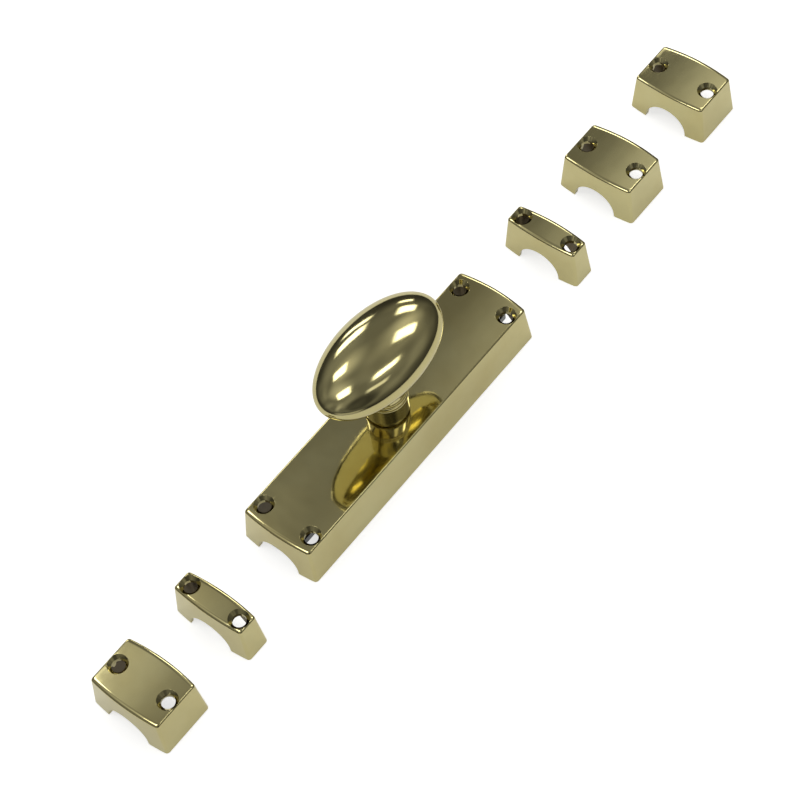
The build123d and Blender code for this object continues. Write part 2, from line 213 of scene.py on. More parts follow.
def cut(piece, tool, operation="DIFFERENCE"):
    """Cuts a tool out of a piece, joins it on or keeps what they share, and removes the tool."""
    apply_modifier(
        piece, "BOOLEAN", object=tool, operation=operation, solver="EXACT",
        material_mode="TRANSFER",
    )
    bpy.data.objects.remove(tool, do_unlink=True)


def break_edges(piece, width, angle=28):
    """Takes the sharpness off every edge that folds by more than an angle in degrees."""
    apply_modifier(
        piece, "BEVEL", width=width, segments=2, limit_method="ANGLE",
        angle_limit=radians(angle), use_clamp_overlap=True, miter_outer="MITER_ARC",
    )


def shade(piece):
    """Smooth shading that keeps flat faces flat in their reflections."""
    make_active(piece)
    bpy.ops.object.shade_smooth_by_angle(angle=radians(40))
    apply_modifier(piece, "WEIGHTED_NORMAL", mode="FACE_AREA", weight=50, keep_sharp=True)


def copy_piece(piece, name, shift_x):
    """Copy with a mesh of its own, moved along the rod line."""
    make_active(piece)
    bpy.ops.object.duplicate(linked=False)
    twin = new_piece(name)
    twin.location.x = shift_x
    place_in_mesh(twin)
    return twin


def stand_in_for(piece, node, body):
    """The finished piece takes a CAD node's place and moves with its body."""
    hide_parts(node)
    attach(piece, body)


# ---- Materials -----------------------------------------------------------------------------------

# Sockets of a Mix node that mixes two colours
COLOUR_A, COLOUR_B, MIXED = 6, 7, 2


def add_node(owner, kind, links=(), **settings):
    """Adds one node with its settings, and links other nodes' outputs to its inputs."""
    node = owner.node_tree.nodes.new(kind)
    for key, value in settings.items():
        if key in node.inputs.keys():
            node.inputs[key].default_value = value
        else:
            setattr(node, key, value)
    for socket, source in dict(links).items():
        owner.node_tree.links.new(source, node.inputs[socket])
    return node


def new_material(name):
    """Empty node material, under a name that the CAD import hasn't taken."""
    if bpy.data.materials.get(name):
        raise RuntimeError(f"there is a material called {name} already")
    material = bpy.data.materials.new(name)
    material.use_nodes = True
    material.node_tree.nodes.clear()
    return material


def close_material(material, shader):
    """Links the shader to the material's output."""
    add_node(material, "ShaderNodeOutputMaterial", {"Surface": shader.outputs["BSDF"]})
    return material


def polished_brass(finish):
    """Cast brass, ground and buffed to a mirror, without lacquer."""
    # Buffing leaves slow waves that bend reflections a little, hairlines that haze the highlights,
    # and a slightly warmer tone where the polish has aged
    known = bpy.data.materials.get("buffed_cast_brass")
    if known:
        return known
    material = new_material("buffed_cast_brass")
    patch, wave, hairline = 26 * MM, 9 * MM, 0.5 * MM
    stretch = 0.08  # the hairlines run along the set, a little askew
    place = add_node(material, "ShaderNodeTexCoord").outputs["Object"]
    tone = add_node(
        material, "ShaderNodeTexNoise", {"Vector": place},
        Scale=1 / patch, Detail=3.0, Roughness=0.55,
    )
    tone_range = add_node(
        material, "ShaderNodeMapRange", {"Value": tone.outputs["Fac"]},
        **{"From Min": 0.35, "From Max": 0.7, "To Min": 0.0, "To Max": 0.55},
    )
    base = add_node(
        material, "ShaderNodeMix", {"Factor": tone_range.outputs["Result"]}, data_type="RGBA"
    )
    base.inputs[COLOUR_A].default_value = (*finish.brass, 1)
    base.inputs[COLOUR_B].default_value = (*finish.brass_shade, 1)
    hairlines = add_node(
        material, "ShaderNodeMapping", {"Vector": place},
        Rotation=(0, 0, radians(7)), Scale=(stretch, 1.0, 1.0),
    )
    haze = add_node(
        material, "ShaderNodeTexNoise", {"Vector": hairlines.outputs["Vector"]},
        Scale=1 / hairline, Detail=4.0, Roughness=0.6,
    )
    smoothest, roughest = finish.polish * 0.7, finish.polish * 1.6
    roughness = add_node(
        material, "ShaderNodeMapRange", {"Value": haze.outputs["Fac"]},
        **{"From Min": 0.3, "From Max": 0.75, "To Min": smoothest, "To Max": roughest},
    )
    waves = add_node(
        material, "ShaderNodeTexNoise", {"Vector": place},
        Scale=1 / wave, Detail=1.0, Roughness=0.4,
    )
    slow = add_node(
        material, "ShaderNodeBump", {"Height": waves.outputs["Fac"]},
        Strength=1.0, Distance=0.05 * MM,
    )
    fine = add_node(
        material, "ShaderNodeBump",
        {"Height": haze.outputs["Fac"], "Normal": slow.outputs["Normal"]},
        Strength=0.35, Distance=0.002 * MM,
    )
    shader = add_node(
        material, "ShaderNodeBsdfPrincipled",
        {
            "Base Color": base.outputs[MIXED],
            "Roughness": roughness.outputs["Result"],
            "Normal": fine.outputs["Normal"],
        },
        Metallic=1.0,
    )
    return close_material(material, shader)


def cast_skin_and_painted_shade(finish):
    """Brass as it left the sand, inside the castings, darkened further as painted shade for the
    hollows.
    """
    # The sand leaves a dull grainy skin with darker oxide in its hollows. Both of its colours are
    # darker than bare cast brass, which paints in the shade inside the castings.
    known = bpy.data.materials.get("sand_cast_brass_painted_shade")
    if known:
        return known
    material = new_material("sand_cast_brass_painted_shade")
    oxide_patch, sand_grain = 7 * MM, 0.45 * MM
    place = add_node(material, "ShaderNodeTexCoord").outputs["Object"]
    oxide = add_node(
        material, "ShaderNodeTexNoise", {"Vector": place},
        Scale=1 / oxide_patch, Detail=5.0, Roughness=0.65,
    )
    skin = add_node(material, "ShaderNodeMix", {"Factor": oxide.outputs["Fac"]}, data_type="RGBA")
    skin.inputs[COLOUR_A].default_value = (*finish.cast_skin_and_painted_shade, 1)
    skin.inputs[COLOUR_B].default_value = linear("#5d5238")
    grain = add_node(
        material, "ShaderNodeTexNoise", {"Vector": place},
        Scale=1 / sand_grain, Detail=3.0, Roughness=0.7,
    )
    relief = add_node(
        material, "ShaderNodeBump", {"Height": grain.outputs["Fac"]},
        Strength=0.7, Distance=0.12 * MM,
    )
    shader = add_node(
        material, "ShaderNodeBsdfPrincipled",
        {"Base Color": skin.outputs[MIXED], "Normal": relief.outputs["Normal"]},
        Metallic=1.0, Roughness=0.46,
    )
    return close_material(material, shader)


def turned_brass(finish):
    """Brass bar turned on a lathe and buffed, round the neck and in the bush."""
    # The tool leaves fine rings round the axis, which draw each highlight into an upright streak
    known = bpy.data.materials.get("lathe_turned_brass")
    if known:
        return known
    material = new_material("lathe_turned_brass")
    ring, patch = 0.16 * MM, 12 * MM
    place = add_node(material, "ShaderNodeTexCoord").outputs["Object"]
    lift = add_node(material, "ShaderNodeSeparateXYZ", {"Vector": place}).outputs["Z"]
    rings = add_node(
        material, "ShaderNodeTexNoise", {"W": lift}, noise_dimensions="1D",
        Scale=1 / ring, Detail=2.0, Roughness=0.6,
    )
    tone = add_node(
        material, "ShaderNodeTexNoise", {"Vector": place},
        Scale=1 / patch, Detail=3.0, Roughness=0.55,
    )
    base = add_node(material, "ShaderNodeMix", {"Factor": tone.outputs["Fac"]}, data_type="RGBA")
    base.inputs[COLOUR_A].default_value = (*finish.brass, 1)
    base.inputs[COLOUR_B].default_value = (*finish.brass_shade, 1)
    roughness = add_node(
        material, "ShaderNodeMapRange", {"Value": rings.outputs["Fac"]},
        **{"From Min": 0.3, "From Max": 0.7, "To Min": 0.05, "To Max": 0.09},
    )
    relief = add_node(
        material, "ShaderNodeBump", {"Height": rings.outputs["Fac"]},
        Strength=0.5, Distance=0.0003 * MM,
    )
    round_axis = add_node(material, "ShaderNodeTangent", direction_type="RADIAL", axis="Z")
    shader = add_node(
        material, "ShaderNodeBsdfPrincipled",
        {
            "Base Color": base.outputs[MIXED],
            "Roughness": roughness.outputs["Result"],
            "Normal": relief.outputs["Normal"],
            "Tangent": round_axis.outputs["Tangent"],
        },
        Metallic=1.0, Anisotropic=0.5, **{"Anisotropic Rotation": 0.25},
    )
    return close_material(material, shader)


def steel(name, hex_code, hex_shade, grain_mm, smoothest, roughest, bump_mm, stretch=(1, 1, 1)):
    """One of the steels inside: two tones, a grain of its own size, and its gloss."""
    material = new_material(name)
    grain_size = grain_mm * MM
    blotch_size = 12 * grain_size
    place = add_node(material, "ShaderNodeTexCoord").outputs["Object"]
    along = add_node(material, "ShaderNodeMapping", {"Vector": place}, Scale=stretch)
    blotch = add_node(
        material, "ShaderNodeTexNoise", {"Vector": along.outputs["Vector"]},
        Scale=1 / blotch_size, Detail=4.0, Roughness=0.6,
    )
    base = add_node(material, "ShaderNodeMix", {"Factor": blotch.outputs["Fac"]}, data_type="RGBA")
    base.inputs[COLOUR_A].default_value = linear(hex_code)
    base.inputs[COLOUR_B].default_value = linear(hex_shade)
    grain = add_node(
        material, "ShaderNodeTexNoise", {"Vector": along.outputs["Vector"]},
        Scale=1 / grain_size, Detail=3.0, Roughness=0.65,
    )
    roughness = add_node(
        material, "ShaderNodeMapRange", {"Value": grain.outputs["Fac"]},
        **{"From Min": 0.3, "From Max": 0.7, "To Min": smoothest, "To Max": roughest},
    )
    relief = add_node(
        material, "ShaderNodeBump", {"Height": grain.outputs["Fac"]},
        Strength=0.6, Distance=bump_mm * MM,
    )
    shader = add_node(
        material, "ShaderNodeBsdfPrincipled",
        {
            "Base Color": base.outputs[MIXED],
            "Roughness": roughness.outputs["Result"],
            "Normal": relief.outputs["Normal"],
        },
        Metallic=1.0,
    )
    return close_material(material, shader)


def paper_floor(finish):
    """Matt white paper under the set."""
    # Its own glow makes it white, and it keeps the soft shadow where the castings stand on it
    material = new_material("white_paper")
    glow_seen, glow_mirrored = 0.7, 0.36
    matt = add_node(material, "ShaderNodeBsdfDiffuse", Roughness=0.0)
    matt.inputs["Color"].default_value = (*finish.paper, 1)
    paths = add_node(material, "ShaderNodeLightPath")
    seen = add_node(
        material, "ShaderNodeMath",
        {0: paths.outputs["Is Camera Ray"], 1: paths.outputs["Is Transmission Ray"]},
        operation="MAXIMUM",
    )
    direct = add_node(material, "ShaderNodeMath", {0: seen.outputs[0]}, operation="MULTIPLY")
    direct.inputs[1].default_value = glow_seen
    mirrored = add_node(
        material, "ShaderNodeMath", {0: paths.outputs["Is Glossy Ray"]}, operation="MULTIPLY"
    )
    mirrored.inputs[1].default_value = glow_mirrored
    lift = add_node(
        material, "ShaderNodeMath", {0: direct.outputs[0], 1: mirrored.outputs[0]}, operation="ADD"
    )
    glow = add_node(material, "ShaderNodeEmission", {"Strength": lift.outputs[0]})
    both = add_node(
        material, "ShaderNodeAddShader", {0: matt.outputs["BSDF"], 1: glow.outputs["Emission"]}
    )
    add_node(material, "ShaderNodeOutputMaterial", {"Surface": both.outputs["Shader"]})
    return material


# ---- Castings ------------------------------------------------------------------------------------


def drafted_block(
    name, centre_x, length_top, width_top, inset, height, full_height, sizes, rounding=0
):
    """Block with bowed ends that narrows upwards, its outline moved inwards by an inset."""
    half_length = length_top / 2 + sizes.end_draft - inset
    half_width = width_top / 2 + sizes.side_draft - inset
    bow = sizes.end_bow
    radius = (half_width**2 + bow**2) / (2 * bow)
    sweep = 2 * asin(half_width / radius)
    deselect_all()
    bpy.ops.mesh.primitive_plane_add(size=1, location=(centre_x, 0, 0))
    block = new_piece(name)
    block.scale = (2 * half_length, 2 * half_width, 1)
    place_in_mesh(block)

    # The plane keeps its two long edges, and an arc is spun from corner to corner at each end
    mesh = edit(block, "EDGE")
    choose(
        block, mesh, mesh.edges, lambda e: abs(e.verts[0].co.y - e.verts[1].co.y) > half_width
    )
    bpy.ops.mesh.delete(type="EDGE_FACE")
    for end in (1, -1):
        bpy.ops.mesh.select_mode(type="VERT")
        bpy.ops.mesh.select_all(action="DESELECT")
        mesh = bmesh.from_edit_mesh(block.data)
        start = Vector((centre_x + end * half_length, -half_width, 0))
        choose(block, mesh, mesh.verts, lambda v: (v.co - start).length < NEAR)
        arc_centre = centre_x + end * (half_length + bow - radius)
        bpy.ops.mesh.spin(
            steps=10, angle=-end * sweep, center=(arc_centre, 0, 0), axis=(0, 0, 1),
            use_auto_merge=False,
        )
    bpy.ops.mesh.select_all(action="SELECT")
    bpy.ops.mesh.remove_doubles(threshold=NEAR)
    bpy.ops.mesh.select_all(action="SELECT")
    bpy.ops.mesh.edge_face_add()

    # Round corners, then the height and the draft
    bpy.ops.mesh.select_all(action="DESELECT")
    mesh = bmesh.from_edit_mesh(block.data)
    choose(
        block, mesh, mesh.verts,
        lambda v: abs(abs(v.co.y) - half_width) < NEAR
        and abs(abs(v.co.x - centre_x) - half_length) < NEAR,
    )
    bpy.ops.mesh.bevel(offset=sizes.corner_radius, segments=5, affect="VERTICES")
    bpy.ops.mesh.select_all(action="SELECT")
    reach_x, reach_y = half_length + bow, half_width
    straight = height - rounding
    in_x = sizes.end_draft * straight / full_height
    in_y = sizes.side_draft * straight / full_height
    raise_selection(straight, 1 - in_x / reach_x, 1 - in_y / reach_y, (centre_x, 0, straight))
    reach_x, reach_y = reach_x - in_x, reach_y - in_y

    # The rounding climbs in steps round a quarter circle
    steps = 6 if rounding else 0
    for step in range(1, steps + 1):
        before, after = (step - 1) / steps * pi / 2, step / steps * pi / 2
        inwards = cos(before) - cos(after)
        rise = rounding * (sin(after) - sin(before))
        in_x, in_y = sizes.end_radius * inwards, rounding * inwards
        at = (centre_x, 0, straight + rounding * sin(after))
        raise_selection(rise, 1 - in_x / reach_x, 1 - in_y / reach_y, at)
        reach_x, reach_y = reach_x - in_x, reach_y - in_y
    finish_edit(block)
    return block


def crown_top(block, centre_x, length_top, width_top, height, sizes):
    """Divides the top into small squares and raises it along its middle."""
    strips, square = 16, 3.2 * MM
    row_gap = 0.001 * MM
    slack = row_gap / 4
    reach = width_top / 2
    squares = round(length_top / square)
    cuts = [((0, reach * (2 * step / strips - 1), 0), (0, 1, 0)) for step in range(1, strips)]
    cuts += [
        ((centre_x + length_top * (step / squares - 0.5), 0, 0), (1, 0, 0))
        for step in range(1, squares)
    ]
    for place, across in cuts:
        edit(block)
        bpy.ops.mesh.select_all(action="SELECT")
        bpy.ops.mesh.bisect(plane_co=place, plane_no=across, threshold=row_gap)
        bpy.ops.object.mode_set(mode="OBJECT")

    # The countersinks rise with the top round them
    spare = 0.2 * MM
    foot = height - (sizes.sink_radius - sizes.hole_radius) - spare
    crown_radius = ((width_top / 2) ** 2 + sizes.crown**2) / (2 * sizes.crown)
    mesh = edit(block, "VERT")
    # Rows of points across the width. Each point is in one row alone, so none is raised twice.
    rows = []
    for y in sorted(v.co.y for v in mesh.verts if v.co.z > foot):
        if rows and y - rows[-1][1] < row_gap:
            rows[-1][1] = y
        else:
            rows.append([y, y])
    for near, far in rows:
        middle = min(abs(near + far) / 2, reach)
        rise = sqrt(crown_radius**2 - middle**2) - (crown_radius - sizes.crown)
        bpy.ops.mesh.select_all(action="DESELECT")
        mesh = bmesh.from_edit_mesh(block.data)
        found = choose(
            block, mesh, mesh.verts,
            lambda v: near - slack <= v.co.y <= far + slack and v.co.z > foot,
        )
        if found and rise > 0:
            bpy.ops.transform.translate(value=(0, 0, rise))
    finish_edit(block)


def cylinder_tool(name, radius, depth, location, turn=(0, 0, 0), vertices=64):
    """Plain cylinder for cutting."""
    deselect_all()
    bpy.ops.mesh.primitive_cylinder_add(
        vertices=vertices, radius=radius, depth=depth, location=location, rotation=turn
    )
    tool = new_piece(name)
    place_in_mesh(tool)
    return tool


def box_tool(name, size, location):
    """Plain box for cutting."""
    deselect_all()
    bpy.ops.mesh.primitive_cube_add(size=1, location=location)
    tool = new_piece(name)
    tool.scale = size
    place_in_mesh(tool)
    return tool


def screw_hole_tool(name, x, y, surface, sizes):
    """Hole with its 90 degree countersink, for cutting."""
    above, depth = 1 * MM, 20 * MM
    sink_depth = sizes.sink_radius - sizes.hole_radius
    middle = (x, y, surface - sink_depth - depth / 2)
    tool = cylinder_tool(name, sizes.hole_radius, depth, middle)
    mesh = edit(tool)
    choose(tool, mesh, mesh.faces, faces_up)
    grow = (sizes.sink_radius + above) / sizes.hole_radius
    raise_selection(sink_depth + above, grow, grow, (x, y, surface + above))
    finish_edit(tool)
    return tool


def casting_shape(node, sizes):
    """Middle, top length, top width and full side height of a casting, from its CAD node's box."""
    low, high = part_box(node)
    half_width = (high.y - low.y) / 2
    # The arch takes away the middle of the bowed foot, so the foot's box ends at the arch
    bow_radius = (half_width**2 + sizes.end_bow**2) / (2 * sizes.end_bow)
    bow_at_arch = sqrt(bow_radius**2 - sizes.arch_radius**2) - (bow_radius - sizes.end_bow)
    length_top = (high.x - low.x) - 2 * (bow_at_arch + sizes.end_draft)
    width_top = 2 * (half_width - sizes.side_draft)
    return (low.x + high.x) / 2, length_top, width_top, high.z - sizes.crown


def make_casting(node, wall, screw_spots, sizes, finish, fittings=None):
    """Hollow casting with its arch and countersunk holes, in the place of its CAD node."""
    centre_x, length_top, width_top, full = casting_shape(node, sizes)
    past_ends = 8 * MM
    block = drafted_block(
        f"{node}_casting", centre_x, length_top, width_top, 0, full, full, sizes,
        sizes.edge_radius,
    )
    block.data.materials.append(polished_brass(finish))
    ceiling = full - sizes.top_wall
    hollow = drafted_block(
        "hollow", centre_x, length_top, width_top, wall, ceiling, full, sizes
    )
    # The hollow starts just below the foot, so that the cut leaves no skin there
    hollow.location.z = -NEAR
    place_in_mesh(hollow)
    hollow.data.materials.append(cast_skin_and_painted_shade(finish))
    cut(block, hollow)
    arch = cylinder_tool(
        "arch", sizes.arch_radius, length_top + past_ends, (centre_x, 0, 0), (0, pi / 2, 0), 128
    )
    arch.data.materials.append(polished_brass(finish))
    cut(block, arch)
    if fittings:
        cut(block, fittings, "UNION")
    for x, y in screw_spots:
        hole = screw_hole_tool("hole", centre_x + x, y, full, sizes)
        hole.data.materials.append(polished_brass(finish))
        cut(block, hole)
    return block


def finish_casting(block, node, screw_spots, sizes, round_rims=True):
    """Rounds the countersinks' rims, breaks the other edges and crowns the top."""
    centre_x, length_top, width_top, full = casting_shape(node, sizes)
    slack = 0.02 * MM

    def on_rim(point):
        """Whether a point is on the rim of a countersink."""
        return point.co.z > full - slack and any(
            abs((point.co.xy - Vector((centre_x + x, y))).length - sizes.sink_radius) < slack
            for x, y in screw_spots
        )

    if round_rims:
        mesh = edit(block, "EDGE")
        if not choose(block, mesh, mesh.edges, lambda e: all(map(on_rim, e.verts))):
            raise RuntimeError(f"{node} has no countersink rims to round")
        bpy.ops.mesh.bevel(
            offset=sizes.rim_round, segments=4, affect="EDGES", clamp_overlap=True
        )
        finish_edit(block)
    break_edges(block, sizes.edge_break)
    crown_top(block, centre_x, length_top, width_top, full, sizes)
    shade(block)


def four_corners(x, y):
    """The four places at x and y either side of the knob's axis."""
    return [(end * x, side * y) for end in (-1, 1) for side in (-1, 1)]


class CREMONE_OT_narrow_guides(bpy.types.Operator):
    """Models one narrow arched guide and copies it to the other side of the case"""

    bl_idname = "cremone.narrow_guides"
    bl_label = "Narrow guides"

    def execute(self, context):
        sizes, finish = context.scene.cremone_castings, context.scene.cremone_finish
        wall, screw_y = 1.4 * MM, 11.5 * MM
        spots = [(0, screw_y), (0, -screw_y)]
        guide = make_casting("guide_upper", wall, spots, sizes, finish)
        # A guide's top is too short for its countersinks' rims to be rounded far
        finish_casting(guide, "guide_upper", spots, sizes, round_rims=False)
        stand_in_for(guide, "guide_upper", "root")
        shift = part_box("guide_lower")[0].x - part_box("guide_upper")[0].x
        twin = copy_piece(guide, "guide_lower_casting", shift)
        stand_in_for(twin, "guide_lower", "root")
        return {"FINISHED"}


class CREMONE_OT_wide_blocks(bpy.types.Operator):
    """Models one wide arched block and copies it to the two keepers"""

    bl_idname = "cremone.wide_blocks"
    bl_label = "Wide guide and keepers"

    def execute(self, context):
        sizes, finish = context.scene.cremone_castings, context.scene.cremone_finish
        wall, screw_y = 2.0 * MM, 11.7 * MM
        spots = [(0, screw_y), (0, -screw_y)]
        block = make_casting("wide_guide_upper", wall, spots, sizes, finish)
        finish_casting(block, "wide_guide_upper", spots, sizes)
        stand_in_for(block, "wide_guide_upper", "root")
        for keeper in ("keeper_lower", "keeper_upper"):
            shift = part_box(keeper)[0].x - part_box("wide_guide_upper")[0].x
            twin = copy_piece(block, f"{keeper}_casting", shift)
            stand_in_for(twin, keeper, "root")
        return {"FINISHED"}


class CREMONE_OT_case(bpy.types.Operator):
    """Models the long case with its boss, rails and posts"""

    bl_idname = "cremone.case"
    bl_label = "Case"

    def execute(self, context):
        sizes, finish = context.scene.cremone_castings, context.scene.cremone_finish
        centre_x, length_top, width_top, full = casting_shape("case", sizes)
        wall = 2.0 * MM
        screw_x, screw_y = 58.1 * MM, 11.05 * MM
        boss_radius, boss_height = 9.18 * MM, 5.2 * MM
        rail_x, rail_y, rail_foot = 30 * MM, 9.38 * MM, 6.1 * MM
        rail_length, rail_width = 34 * MM, 1.6 * MM
        post_x, post_y, post_foot, post_radius = 34 * MM, 12.68 * MM, 1.5 * MM, 2.0 * MM
        web = width_top / 2 + sizes.side_draft - post_y
        bush_radius, plate_screw_radius, plate_screw_depth = 6.98 * MM, 1.03 * MM, 16.6 * MM
        through = 60 * MM

        # Boss round the bush, rails over the racks, and posts with their webs for the back plate.
        # All of them end inside the case's top, which they are joined to.
        bite = 1.2 * MM
        top = full - sizes.top_wall + bite
        fittings = cylinder_tool(
            "fittings", boss_radius, boss_height, (0, 0, top - boss_height / 2)
        )
        for x, y in four_corners(rail_x, rail_y):
            size = (rail_length, rail_width, top - rail_foot)
            cut(fittings, box_tool("rail", size, (x, y, (top + rail_foot) / 2)), "UNION")
        height, middle = top - post_foot, (top + post_foot) / 2
        for x, side in four_corners(post_x, 1):
            post = cylinder_tool(
                "post", post_radius, height, (x, side * post_y, middle), vertices=32
            )
            web_place = (x, side * (post_y + web / 2), middle)
            cut(post, box_tool("web", (2 * post_radius, web, height), web_place), "UNION")
            cut(fittings, post, "UNION")
        inner = drafted_block(
            "inner", centre_x, length_top, width_top, wall / 2, top, full, sizes
        )
        cut(fittings, inner, "INTERSECT")
        fittings.data.materials.clear()
        fittings.data.materials.append(cast_skin_and_painted_shade(finish))

        spots = four_corners(screw_x, screw_y)
        case = make_casting("case", wall, spots, sizes, finish, fittings)
        bore = cylinder_tool("bore", bush_radius, through, (0, 0, 0), vertices=96)
        bore.data.materials.append(turned_brass(finish))
        cut(case, bore)
        for x, y in four_corners(post_x, post_y):
            cut(case, cylinder_tool(
                "plate_hole", plate_screw_radius, plate_screw_depth, (x, y, 0), vertices=24
            ))
        finish_casting(case, "case", spots, sizes)
        stand_in_for(case, "case", "root")
        return {"FINISHED"}


# ---- Knob and neck -------------------------------------------------------------------------------


def grub_hole_tool(middle_y, vertices):
    """Hole for the grub screw, from the far side to the spindle, for cutting."""
    radius, depth, height = 2.03 * MM, 12 * MM, 24.5 * MM
    return cylinder_tool(
        "grub", radius, depth, (0, middle_y, height), (pi / 2, 0, 0), vertices
    )


class CREMONE_OT_neck(bpy.types.Operator):
    """Models the turned sleeve round the knob's stem, with its beads"""

    bl_idname = "cremone.neck"
    bl_label = "Neck"

    def execute(self, context):
        sizes, finish = context.scene.cremone_knob, context.scene.cremone_finish
        low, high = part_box("neck_ferrule")

        def wall(z):
            """Radius of the sleeve at a height: it is widest at the foot and slimmer upwards."""
            return sizes.neck_radius - sizes.sleeve_taper * (z - low.z) / (high.z - low.z)

        # Radius and height of each ring, from the foot up the outside
        lip, play = 0.3 * MM, 0.03 * MM
        lip_steps, side_steps, bead_steps = 4, 13, 10
        rings = [(wall(low.z) - lip, low.z)]
        for step in range(1, lip_steps + 1):
            turn = step / lip_steps * pi / 2
            rings.append(
                (wall(low.z + lip) - lip * (1 - sin(turn)), low.z + lip * (1 - cos(turn)))
            )
        upper_bead = high.z - 2 * sizes.bead_radius
        beads = (upper_bead - sizes.bead_spacing, upper_bead)
        shoulder = beads[0] - sizes.bead_radius
        for step in range(1, side_steps):
            z = low.z + lip + (shoulder - low.z - lip) * step / side_steps
            rings.append((wall(z), z))
        for middle in beads:
            for step in range(bead_steps + 1):
                turn = -pi / 2 + step / bead_steps * pi
                z = middle + sizes.bead_radius * sin(turn)
                rings.append((wall(z) + sizes.bead_radius * cos(turn), z))
        for step in range(lip_steps + 1):
            turn = step / lip_steps * pi / 2
            rings.append(
                (wall(high.z) - lip * (1 - cos(turn)), high.z - lip * (1 - sin(turn)))
            )
        rings.append((sizes.stem_radius + play, high.z))
        rings.append((sizes.stem_radius + play, low.z))

        deselect_all()
        foot_radius, foot_z = rings[0]
        bpy.ops.mesh.primitive_circle_add(
            vertices=128, radius=foot_radius, location=(0, 0, foot_z)
        )
        sleeve = new_piece("neck_sleeve")
        place_in_mesh(sleeve)
        edit(sleeve, "EDGE")
        bpy.ops.mesh.select_all(action="SELECT")
        for (radius_before, z_before), (radius, z) in zip(rings, rings[1:]):
            grow = radius / radius_before
            raise_selection(z - z_before, grow, grow, (0, 0, z))
        bpy.ops.mesh.select_all(action="DESELECT")
        mesh = bmesh.from_edit_mesh(sleeve.data)
        choose(sleeve, mesh, mesh.edges, lambda e: e.is_boundary)
        bpy.ops.mesh.bridge_edge_loops()
        finish_edit(sleeve)
        cut(sleeve, grub_hole_tool(8 * MM, 32))
        break_edges(sleeve, 0.05 * MM, angle=50)
        shade(sleeve)
        sleeve.data.materials.clear()
        sleeve.data.materials.append(turned_brass(finish))
        stand_in_for(sleeve, "neck_ferrule", "knob")
        return {"FINISHED"}


class CREMONE_OT_knob(bpy.types.Operator):
    """Models the oval head with its slim throat, its stem and the square socket"""

    bl_idname = "cremone.knob"
    bl_label = "Knob"

    def execute(self, context):
        sizes, finish = context.scene.cremone_knob, context.scene.cremone_finish
        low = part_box("knob_head")[0]
        sleeve_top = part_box("neck_ferrule")[1].z
        deselect_all()
        bpy.ops.mesh.primitive_uv_sphere_add(
            segments=160, ring_count=96, radius=sizes.half_length,
            location=(0, 0, sizes.centre_height),
        )
        head = new_piece("knob_oval")
        head.scale = (
            1, sizes.half_width / sizes.half_length, sizes.half_thickness / sizes.half_length
        )
        place_in_mesh(head)

        # The stem is a cylinder inside the sleeve and a slim taper above it, up to the underside
        throat_top = sizes.centre_height - sizes.half_thickness / 2
        stem = cylinder_tool(
            "stem", sizes.stem_radius, sleeve_top - low.z, (0, 0, (sleeve_top + low.z) / 2),
            vertices=128,
        )
        mesh = edit(stem)
        choose(stem, mesh, mesh.faces, faces_up)
        spread = sizes.throat_foot_radius / sizes.stem_radius
        raise_selection(0, spread, spread, (0, 0, sleeve_top))
        taper = sizes.throat_radius / sizes.throat_foot_radius
        raise_selection(throat_top - sleeve_top, taper, taper, (0, 0, throat_top))
        finish_edit(stem)
        cut(head, stem, "UNION")
        lowest = sleeve_top + 3 * MM
        highest = sizes.centre_height - 0.7 * sizes.half_thickness

        def in_corner(edge):
            """Whether an edge is where the throat meets the head."""
            heights = [point.co.z for point in edge.verts]
            return (
                not edge.is_convex and len(edge.link_faces) == 2
                and edge.calc_face_angle() > radians(35)
                and lowest < min(heights) and max(heights) < highest
            )

        mesh = edit(head, "EDGE")
        if not choose(head, mesh, mesh.edges, in_corner):
            raise RuntimeError("the throat meets the head in no edge to round")
        bpy.ops.mesh.bevel(
            offset=sizes.throat_fillet, segments=6, affect="EDGES", clamp_overlap=True
        )
        finish_edit(head)

        socket, socket_top, below = 6.06 * MM, 37.3 * MM, 2 * MM
        depth = socket_top - low.z + below
        cut(head, box_tool("socket", (socket, socket, depth), (0, 0, socket_top - depth / 2)))
        cut(head, grub_hole_tool(6 * MM, 48))
        make_active(head)
        bpy.ops.object.shade_smooth_by_angle(angle=radians(40))
        head.data.materials.clear()
        head.data.materials.append(polished_brass(finish))
        stand_in_for(head, "knob_head", "knob")
        return {"FINISHED"}


# ---- Mechanism -----------------------------------------------------------------------------------


